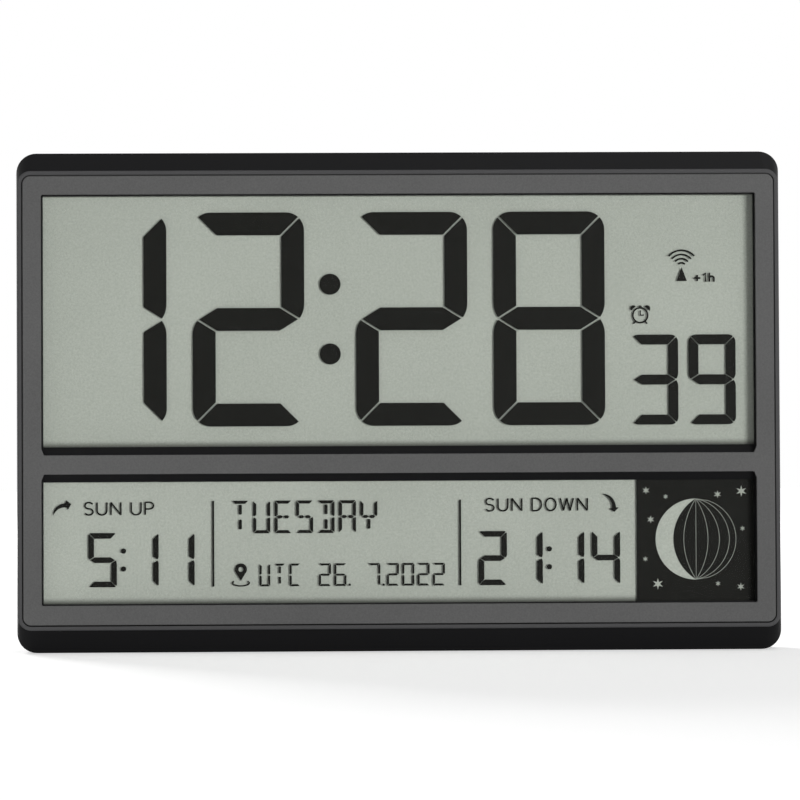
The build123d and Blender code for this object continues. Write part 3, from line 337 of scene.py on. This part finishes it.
# Display bars: the liquid crystal between the panes, which turns near black where it is driven. The
# printed mask of the moon field lies in the same layer.
ink_black = moulded("ink_black", paint(23, 23, 21), vary=0.1, rough=0.55, grain=0.6, depth=0.003, gloss=0.03)
dress(ink_black, "time_segments", "info_segments", "moon_mask")

# Fixed signs of the displays: a radio mast, an alarm clock, a summer hour sign, two arrows with
# words for the sun times and a place pin. They are driven bars of the same layer.
bar_front = -8.6 * mm
bar_thickness = 0.12 * mm
same_point = 0.001 * mm
loop_gap = 0.01


def stroke(name, route, width, front=bar_front, thickness=bar_thickness, finish=ink_black,
           slot="display_ink", body="case"):
    """Flat stroke along a route of (x, z) points in millimetres, a loop if it ends where it starts."""
    bpy.ops.object.select_all(action="DESELECT")
    bpy.ops.curve.primitive_nurbs_path_add()
    line = bpy.context.object
    line.data.splines.clear()
    spline = line.data.splines.new("POLY")
    spline.use_cyclic_u = dist(route[0], route[-1]) < loop_gap * width
    if spline.use_cyclic_u:
        route = route[:-1]
    spline.points.add(len(route) - 1)
    for point, (x, z) in zip(spline.points, route):
        point.co = (x * mm, 0, z * mm, 1)
    line.data.bevel_depth = width / 2 * mm
    line.data.bevel_resolution = 2
    line.data.use_fill_caps = True
    bpy.ops.object.convert(target="MESH")
    sign = bpy.context.object
    bpy.ops.object.mode_set(mode="EDIT")
    bpy.ops.mesh.select_all(action="SELECT")
    bpy.ops.mesh.remove_doubles(threshold=same_point)
    bpy.ops.transform.resize(value=(1, thickness / (width * mm), 1), center_override=(0, 0, 0))
    bpy.ops.transform.translate(value=(0, front + thickness / 2, 0))
    bpy.ops.mesh.normals_make_consistent(inside=False)
    bpy.ops.object.mode_set(mode="OBJECT")
    ride_on(sign, name, finish, body)


def strokes(name, routes, width, centre=(0, 0), **look):
    """Sign of a few strokes, with their routes drawn about a centre."""
    for place, route in enumerate(routes):
        moved = [(centre[0] + x, centre[1] + z) for x, z in route]
        stroke(f"{name}_{place + 1}", moved, width, **look)


def thicken(sign, thickness):
    """Give a flat sign its thickness, towards the back."""
    bpy.ops.object.mode_set(mode="EDIT")
    bpy.ops.mesh.select_all(action="SELECT")
    bpy.ops.mesh.remove_doubles(threshold=same_point)
    bpy.ops.mesh.extrude_region_move(TRANSFORM_OT_translate={"value": (0, thickness, 0)})
    bpy.ops.mesh.select_all(action="SELECT")
    bpy.ops.mesh.normals_make_consistent(inside=False)
    bpy.ops.object.mode_set(mode="OBJECT")


def patch(name, outline, front=bar_front, thickness=bar_thickness, finish=ink_black,
          body="case"):
    """Flat filled sign with an outline of (x, z) points in millimetres."""
    bpy.ops.object.select_all(action="DESELECT")
    bpy.ops.mesh.primitive_circle_add(vertices=len(outline), fill_type="NGON")
    sign = bpy.context.object
    for corner, (x, z) in zip(sign.data.vertices, outline):
        corner.co = (x * mm, front, z * mm)
    thicken(sign, thickness)
    ride_on(sign, name, finish, body)


def arc(centre, across, up, start, end, count=24):
    """Points of an ellipse from one angle to another, in degrees from the right."""
    turns = [radians(start + (end - start) * place / count) for place in range(count + 1)]
    return [(centre[0] + across * cos(turn), centre[1] + up * sin(turn)) for turn in turns]


def curve(start, pull, end, count=16):
    """Points of a bend from start to end, drawn towards a third point."""
    shares = [place / count for place in range(count + 1)]
    return [
        tuple((1 - t) ** 2 * a + 2 * t * (1 - t) * b + t * t * c for a, b, c in zip(start, pull, end))
        for t in shares
    ]


mast = (136.6, 184.4)
mast_half = 2.5
mast_height = 6.7
wave_radii = (8.15, 6.1, 4.1, 2.1)
wave_line = 0.8
strokes("mast_wave", [arc((0, 0), radius, radius, 41, 139) for radius in wave_radii], wave_line, mast)
mast_bottom = mast[1] - mast_height
patch("mast_foot", [mast, (mast[0] - mast_half, mast_bottom), (mast[0] + mast_half, mast_bottom)])

summer_corner = (142.6, 177.3)
summer_line = 0.85
summer_hour = [
    [(0, 1.8), (3.0, 1.8)],
    [(1.5, 0.3), (1.5, 3.3)],
    [(4.4, 3.1), (5.6, 4.1), (5.6, 0)],
    [(7.4, 4.4), (7.4, 0)],
    arc((8.5, 1.6), 1.1, 1.1, 180, 0) + [(9.6, 0)],
]
strokes("summer_hour", summer_hour, summer_line, summer_corner)

alarm = (116.5, 161.3)
alarm_radius = 3.6
alarm_line = 0.75
stroke("alarm_ring", arc(alarm, alarm_radius, alarm_radius, 0, 360, 36), alarm_line)
bell_radius = 1.55
bell_outline = arc((0, 0), bell_radius, bell_radius, -42, 138)
bell_out = 3.3
bell_rise = 3.2
foot_reaches = (3.9, 5.3)
foot_out = 0.62
foot_fall = 0.78
foot_line = 0.7
for side, name in ((1, "right"), (-1, "left")):
    bell = (alarm[0] + side * bell_out, alarm[1] + bell_rise)
    patch(f"alarm_bell_{name}", [(bell[0] + side * x, bell[1] + z) for x, z in bell_outline])
    foot = [(alarm[0] + side * reach * foot_out, alarm[1] - reach * foot_fall) for reach in foot_reaches]
    stroke(f"alarm_foot_{name}", foot, foot_line)
knob_half = 0.7
knob_height = alarm[1] + 4.35
knob_line = 0.6
stroke("alarm_knob", [(alarm[0] - knob_half, knob_height), (alarm[0] + knob_half, knob_height)], knob_line)
minute_tip = (alarm[0], alarm[1] + 2.3)
hour_tip = (alarm[0] + 1.8, alarm[1])
hand_line = 0.65
stroke("alarm_hands", [minute_tip, alarm, hour_tip], hand_line)

letter_height = 6.0
letter_line = 0.75
letter_gap = 2.0
# Each letter has a width, and strokes in a square with sides of 1.
letters = {
    " ": (1.0, []),
    "S": (3.8, [arc((0.5, 0.75), 0.5, 0.25, 25, 270) + arc((0.5, 0.25), 0.5, 0.25, 90, -155)[1:]]),
    "U": (4.7, [[(0, 1), *arc((0.5, 0.36), 0.5, 0.36, 180, 360), (1, 1)]]),
    "N": (4.7, [[(0, 0), (0, 1)], [(0, 1), (1, 0)], [(1, 0), (1, 1)]]),
    "P": (4.0, [[(0, 0), (0, 1)], [(0, 1), *arc((0.45, 0.73), 0.55, 0.27, 90, -90), (0, 0.46)]]),
    "D": (4.5, [[(0, 0), (0, 1)], [(0, 1), *arc((0.4, 0.5), 0.6, 0.5, 90, -90), (0, 0)]]),
    "O": (5.0, [arc((0.5, 0.5), 0.5, 0.5, 0, 360)]),
    "W": (6.4, [[(0, 1), (0.25, 0)], [(0.25, 0), (0.5, 1)], [(0.5, 1), (0.75, 0)], [(0.75, 0), (1, 1)]]),
}


def lettering(name, words, left, bottom):
    """Words in thin even strokes, from a lower left corner."""
    for place, letter in enumerate(words):
        width, routes = letters[letter]
        sized = [[(x * width, z * letter_height) for x, z in route] for route in routes]
        strokes(f"{name}_{place + 1}", sized, letter_line, (left, bottom))
        left += width + letter_gap


patch(
    "sun_up_arrow",
    curve((-166.4, 66.2), (-166.1, 71.2), (-160.4, 72.1))
    + [(-160.2, 73.5), (-157.7, 71.6), (-159.3, 68.8)]
    + curve((-159.9, 69.9), (-164.1, 70.5), (-166.3, 66.2)),
)
lettering("sun_up_words", "SUN UP", -151.1, 66.3)
patch(
    "sun_down_arrow",
    curve((97.7, 75.3), (103.4, 75.1), (104.3, 68.7))
    + [(105.5, 68.7), (103.4, 66.5), (100.9, 68.2)]
    + curve((102.3, 68.4), (102.4, 73.2), (97.7, 75.2)),
)
lettering("sun_down_words", "SUN DOWN", 41.6, 67.3)

pin = (-76.4, 39.8)
pin_radius = 2.05
pin_line = 1.7
stroke("pin_head", arc(pin, pin_radius, pin_radius, 0, 360, 36), pin_line)
point_half = 2.55
point_top = pin[1] - 1.2
point_tip = pin[1] - 5.5
patch("pin_point", [(pin[0], point_tip), (pin[0] - point_half, point_top), (pin[0] + point_half, point_top)])
ground_height = 33.3
ground_line = 0.7
stroke("pin_ground", arc((pin[0], ground_height), 4.0, 1.4, -215, 35), ground_line)

# Moon picture: a sheet of film right behind the printed mask fills its crescent and stars, and
# fine clear lines in the print follow the globe like the gores of a paper lantern.
backing_space = 0.01 * mm
backing_thickness = 0.03 * mm
backing_inset = 1.0 * mm
mask_low, mask_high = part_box("moon_mask")
backing_front = mask_high.y + backing_space
slab(
    "moon_backing",
    Vector((mask_low.x + backing_inset, backing_front, mask_low.z + backing_inset)),
    Vector((mask_high.x - backing_inset, backing_front + backing_thickness, mask_high.z - backing_inset)),
    backing_space,
    info_film,
)
moon = (142.7, 53.3)
globe_radius = 19.4
gore_reaches = (-5.9, 5.8, 11.3, 16.1, 19.3)
gore_steps = 20
gore_line = 0.2
gore_lift = 0.02 * mm
gore_thickness = 0.03 * mm


def meridian(reach):
    """Arc through both poles of the globe that bulges by a reach to the right."""
    radius = (globe_radius**2 + reach**2) / (2 * reach)
    heights = [globe_radius * place / gore_steps for place in range(-gore_steps, gore_steps + 1)]
    falls = [abs(radius) - (radius**2 - z**2) ** 0.5 for z in heights]
    side = 1 if reach > 0 else -1
    return [(moon[0] + reach - side * fall, moon[1] + z) for z, fall in zip(heights, falls)]


gores = [meridian(reach) for reach in gore_reaches]
gores.append([(moon[0], moon[1] - globe_radius), (moon[0], moon[1] + globe_radius)])
strokes(
    "moon_line",
    gores,
    gore_line,
    front=bar_front - gore_lift,
    thickness=gore_thickness,
    finish=info_film,
    slot="reflector_film",
)

# Display carrier and antenna clips: plain black mouldings inside the case that hold the displays
# against the front shell and the antenna on the back wall. Small zinc-plated screws fix them.
inner_black = moulded("inner_black", paint(58, 58, 59), vary=0.1, rough=0.55, grain=0.9)
dress(inner_black, "display_carrier", "antenna_clips")
stain_size = 3.0
stain_share = 0.6
stain_rough = 0.08
scratch_size = 0.15
scratch_rough = 0.1
dulling = 0.82


def metal(name, tone, rough):
    """Bare metal with fine scratches and slightly uneven gloss."""
    finish = Finish(bpy.data.materials.new(name))
    stain = finish.noise(stain_size, detail=3.0)
    scratch = finish.noise(scratch_size)
    dull = (*[channel * dulling for channel in tone[:3]], 1)
    finish.shade(
        {
            "Base Color": finish.mix(stain_share * stain + (1 - stain_share) * scratch, dull, tone),
            "Metallic": 1.0,
            "Roughness": rough - scratch_rough / 2 + scratch_rough * scratch + stain_rough * stain,
            "Normal": finish.bump(scratch, 0.004),
        }
    )
    return finish


zinc = metal("zinc_plate", paint(196, 198, 200), 0.32)
dress(zinc, "carrier_screws", "board_screws", "case_screws", "stand_pin")

# Contact strips: two bars of silicone rubber with fine carbon layers across them, pinched between
# the display ledges and the board.
strip_grey = paint(72, 72, 73)
strip_carbon = paint(42, 42, 42)
strip_rough = 0.62
layer_scale = 900.0
layer_waver = 0.3
layer_rough = 0.1
strip_finish = Finish(bpy.data.materials.new("layered_rubber"))
layers = strip_finish.node(
    "ShaderNodeTexWave",
    {"bands_direction": "X"},
    {"Vector": strip_finish.place(), "Scale": layer_scale, "Distortion": layer_waver},
)
strip_finish.shade(
    {
        "Base Color": strip_finish.mix(layers, strip_grey, strip_carbon),
        "Roughness": strip_rough + layer_rough * layers,
        "Normal": strip_finish.bump(layers, 0.02),
    }
)
dress(strip_finish, "contact_strips")

# Boards: glass-fibre boards under green solder mask, with a resin drop over the chip, a crystal
# can, two sleeved capacitors and six small key switches soldered on.
mask_dark = paint(24, 92, 52)
mask_light = paint(40, 124, 70)
mask_rough = 0.36
weave_scale = 700.0
weave_waver = 1.0
weave_share = 0.15
weave_rough = 0.1
track_scale = 220.0
track_start = 0.30
track_end = 0.36
track_share = 0.7
board_green = Finish(bpy.data.materials.new("board_green"))
weave = board_green.node(
    "ShaderNodeTexWave",
    sockets={"Vector": board_green.place(), "Scale": weave_scale, "Distortion": weave_waver},
)
cells = board_green.node(
    "ShaderNodeTexVoronoi", {"distance": "CHEBYCHEV"}, {"Vector": board_green.place(), "Scale": track_scale}
)
tracks = cells.step(track_start, track_end)
board_green.shade(
    {
        "Base Color": board_green.mix(track_share * tracks + weave_share * weave, mask_dark, mask_light),
        "Roughness": mask_rough + weave_rough * weave,
        "Normal": board_green.bump(tracks, 0.03),
    }
)
dress(board_green, "main_board", "receiver_board")
resin_black = moulded("resin_black", paint(22, 22, 23), vary=0.2, rough=0.3, grain=2.5, depth=0.08)
dress(resin_black, "controller_chip")
dress(metal("crystal_can", paint(205, 205, 200), 0.24), "tuning_crystal")
dress(moulded("sleeve_navy", paint(30, 42, 70), rough=0.3, grain=1.5, depth=0.01), "capacitors")
key_names = ("set", "up", "down", "alarm", "signal", "zone")
switch_black = moulded("switch_black", paint(38, 38, 39), rough=0.45, grain=0.7, depth=0.01)
dress(switch_black, "tact_switches", "alarm_switch_body", *[f"{name}_plunger" for name in key_names])

# Buttons and switch knob: smooth dark grey caps that come through the back wall, glossier than the
# case where fingers touch them. Each cap has a plain sign printed on it in white, and the places of
# the switch and the way to press the battery cover's latch are printed on the back.
button_tone = paint(70, 70, 72)
button_grey = moulded("button_grey", button_tone, vary=0.06, rough=0.36, grain=0.6, depth=0.008, gloss=0.3)
dress(button_grey, "alarm_switch_knob", *[f"{name}_button" for name in key_names])
print_white = moulded("print_white", paint(205, 205, 203), vary=0.04, rough=0.6, grain=0.4, depth=0.004)
print_thickness = 0.06 * mm
print_width = 0.42
sign_reach = 1.75


def printed(name, routes, centre, face, slot, body):
    """White print of a few strokes, half sunk in a face of the back."""
    strokes(
        name,
        routes,
        print_width,
        centre,
        front=face - print_thickness / 2,
        thickness=print_thickness,
        finish=print_white,
        slot=slot,
        body=body,
    )


level = [(-sign_reach, 0), (sign_reach, 0)]
upright = [(0, -sign_reach), (0, sign_reach)]
ring = arc((0, 0), sign_reach, sign_reach, 0, 360)
hub = arc((0, 0), 0.35, 0.35, 0, 360)
globe_band = arc((0, 0), 0.75, sign_reach, 0, 360)
chime = [arc((0, -0.6), 1.35, 2.3, 0, 180), [(-1.9, -0.6), (1.9, -0.6)], [(-0.5, -1.6), (0.5, -1.6)]]
key_signs = {
    "set": [ring, hub],
    "up": [level, upright],
    "down": [level],
    "alarm": chime,
    "signal": [arc((0, -1.4), radius, radius, 45, 135) for radius in (1.0, 2.1, 3.2)],
    "zone": [ring, globe_band, level],
}
for key, routes in key_signs.items():
    low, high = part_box(f"{key}_button")
    middle = (low + high) / 2 / mm
    printed(f"{key}_sign", routes, (middle.x, middle.z), high.y, "button_plastic", f"{key}_key")

switch_low, switch_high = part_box("alarm_switch_body")
switch_middle = (switch_low + switch_high) / 2 / mm
key_field_depth = 1.0 * mm
key_field_face = cad_box[1].y - key_field_depth
mark_shift = 9.0
for name, routes, shift in (("switch_on", chime, mark_shift), ("switch_off", [ring], -mark_shift)):
    place = (switch_middle.x + shift, switch_middle.z)
    printed(name, routes, place, key_field_face, "case_plastic", "case")

cover_low, cover_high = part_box("battery_cover")
latch_length = 9.0
arrow_rise = 3.0
arrow_half = 2.6
arrow_tip = cover_low.z / mm + latch_length + arrow_rise
arrow_top = arrow_tip + 2 * arrow_half
patch(
    "cover_arrow",
    [(0, arrow_tip), (arrow_half, arrow_top), (-arrow_half, arrow_top)],
    front=cover_high.y - print_thickness / 2,
    thickness=print_thickness,
    finish=print_white,
    body="cover",
)

# Rear shell, battery cover and stand: black mouldings with a coarser grain than the front, which
# hides fingermarks. Eight screws in deep wells pull the rear shell onto the front one, and the
# stand's foot has a rubber pad.
rear_tone = paint(33, 33, 34)
rear_black = moulded("rear_black", rear_tone, vary=0.15, rough=0.48, grain=0.7, depth=0.06, gloss=0.2)
dress(rear_black, "rear_shell", "battery_cover", "stand")
foot_rubber = moulded("foot_rubber", paint(30, 30, 30), vary=0.15, rough=0.8, grain=0.8, depth=0.04)
dress(foot_rubber, "stand_pad")

# Battery cells and contacts: steel cells in a plain printed jacket with bare ends, pinched between
# nickel-plated leaves and plates.
bare_end = 21.0 * mm
band_blur = 0.2 * mm
jacket_blue = paint(44, 62, 84)
bare_steel = paint(176, 178, 176)
jacket_rough = 0.3
jacket_metallic = 0.4
bare_metallic = 0.9
scuff_size = 2.0
scuff_rough = 0.12
jacket = Finish(bpy.data.materials.new("printed_jacket"))
band = abs(jacket.axis("X")).step(bare_end, bare_end + band_blur)
scuff = jacket.noise(scuff_size, detail=3.0)
jacket.shade(
    {
        "Base Color": jacket.mix(band, jacket_blue, bare_steel),
        "Roughness": jacket_rough + scuff_rough * scuff,
        "Metallic": jacket_metallic + (bare_metallic - jacket_metallic) * band,
        "Normal": jacket.bump(scuff, 0.01),
    }
)
dress(jacket, "lower_cell", "middle_cell", "upper_cell")
dress(metal("nickel_strip", paint(206, 203, 194), 0.22), "negative_contacts", "positive_contacts")

# Radio antenna and buzzer: a ground ferrite rod under a coil of enamelled copper wire, and a thin
# brass disc behind the grille of holes.
ferrite_grey = moulded("ferrite_grey", paint(48, 47, 46), vary=0.2, rough=0.6, grain=0.5, depth=0.03)
dress(ferrite_grey, "antenna_rod")
wire_dark = paint(96, 40, 18)
wire_light = paint(196, 104, 52)
wire_rough = 0.38
turn_gloss = 0.1
turn_scale = 500.0
coil = Finish(bpy.data.materials.new("coil_copper"))
turns = coil.node(
    "ShaderNodeTexWave", {"bands_direction": "X"}, {"Vector": coil.place(), "Scale": turn_scale}
)
coil.shade(
    {
        "Base Color": coil.mix(turns, wire_dark, wire_light),
        "Metallic": 0.85,
        "Roughness": wire_rough - turn_gloss * turns,
        "Normal": coil.bump(turns, 0.15),
    }
)
dress(coil, "antenna_coil")
dress(metal("rolled_brass", paint(212, 180, 104), 0.3), "buzzer_disc")

# Floor and room: a plain pale floor and a white room, which the camera and shiny pieces see as
# white. The floor glows less near the clock, where it keeps the clock's soft shadow.
floor_size = 12.0
floor_grey = paint(232, 232, 232)
white = (1, 1, 1, 1)
black = (0, 0, 0, 1)
near_glow = (0.5, 0.5, 0.5, 1)
shadow_reach = 0.5
glow_reach = 1.6
room_light = 0.13


def seen(finish):
    """1 for what the camera sees, straight, mirrored or through glass."""
    kinds = ("Is Camera Ray", "Is Glossy Ray", "Is Transmission Ray")
    direct, mirrored, through = [finish.node("ShaderNodeLightPath", output=kind) for kind in kinds]
    return direct.larger(mirrored).larger(through)


bpy.ops.object.select_all(action="DESELECT")
bpy.ops.mesh.primitive_plane_add(size=floor_size)
floor = bpy.context.object
floor.name = "floor"
floor_finish = Finish(bpy.data.materials.new("floor_white"))
reach_x = floor_finish.axis("X")
reach_y = floor_finish.axis("Y")
away = (reach_x * reach_x + reach_y * reach_y).root().step(shadow_reach, glow_reach)
glow = floor_finish.mix(away, near_glow, white)
floor_finish.shade(
    {
        "Base Color": floor_grey,
        "Roughness": 0.9,
        "Emission Color": floor_finish.mix(seen(floor_finish), black, glow),
        "Emission Strength": 1.0,
    }
)
floor.data.materials.append(floor_finish.owner)

room = Finish(bpy.data.worlds.new("room"), "Background")
room.shade({"Color": white, "Strength": room_light + (1 - room_light) * seen(room)})
bpy.context.scene.world = room.owner

# Lights: a wide soft key from the right of the camera, and fainter ones from the front, from above
# and from behind. The last isn't mirrored, so that no glint runs along the dark corners of the case.
clock_middle = Vector((0, 0, 0.12))
for name, place, width, height, power, mirrored in (
    ("key", (2.5, -4.4, 0.36), 1.4, 0.5, 168.0, True),
    ("front", (0.0, -3.2, 0.25), 0.6, 0.4, 8.0, True),
    ("top", (0.7, -0.3, 2.4), 1.2, 1.2, 11.0, True),
    ("back", (-1.4, 2.2, 1.4), 1.2, 1.2, 80.0, False),
):
    bpy.ops.object.light_add(type="AREA", location=place)
    lamp = bpy.context.object
    lamp.name = name
    lamp.data.shape = "RECTANGLE"
    lamp.data.size = width
    lamp.data.size_y = height
    lamp.data.energy = power
    lamp.visible_glossy = mirrored
    lamp.rotation_euler = (clock_middle - lamp.location).to_track_quat("-Z", "Y").to_euler()

# Camera: almost straight at the front, a little from the left and from below, on a long lens. The
# frame is as wide as the view width at the distance of the target, and is turned by a hair.
view_distance = 1.4
view_width = 0.3833
view_right = radians(0.92)
view_up = radians(1.03)
view_roll = radians(0.27)
view_target = Vector((0.0002, -0.015, 0.12076))
sensor_width = 36.0
view_line = Vector((sin(view_right) * cos(view_up), cos(view_right) * cos(view_up), sin(view_up)))
bpy.ops.object.camera_add(
    location=view_target - view_distance * view_line,
    rotation=(radians(90) + view_up, view_roll, -view_right),
)
camera = bpy.context.object
camera.data.sensor_width = sensor_width
camera.data.lens = sensor_width * view_distance / view_width
bpy.context.scene.camera = camera
bpy.context.scene.view_settings.view_transform = "Standard"
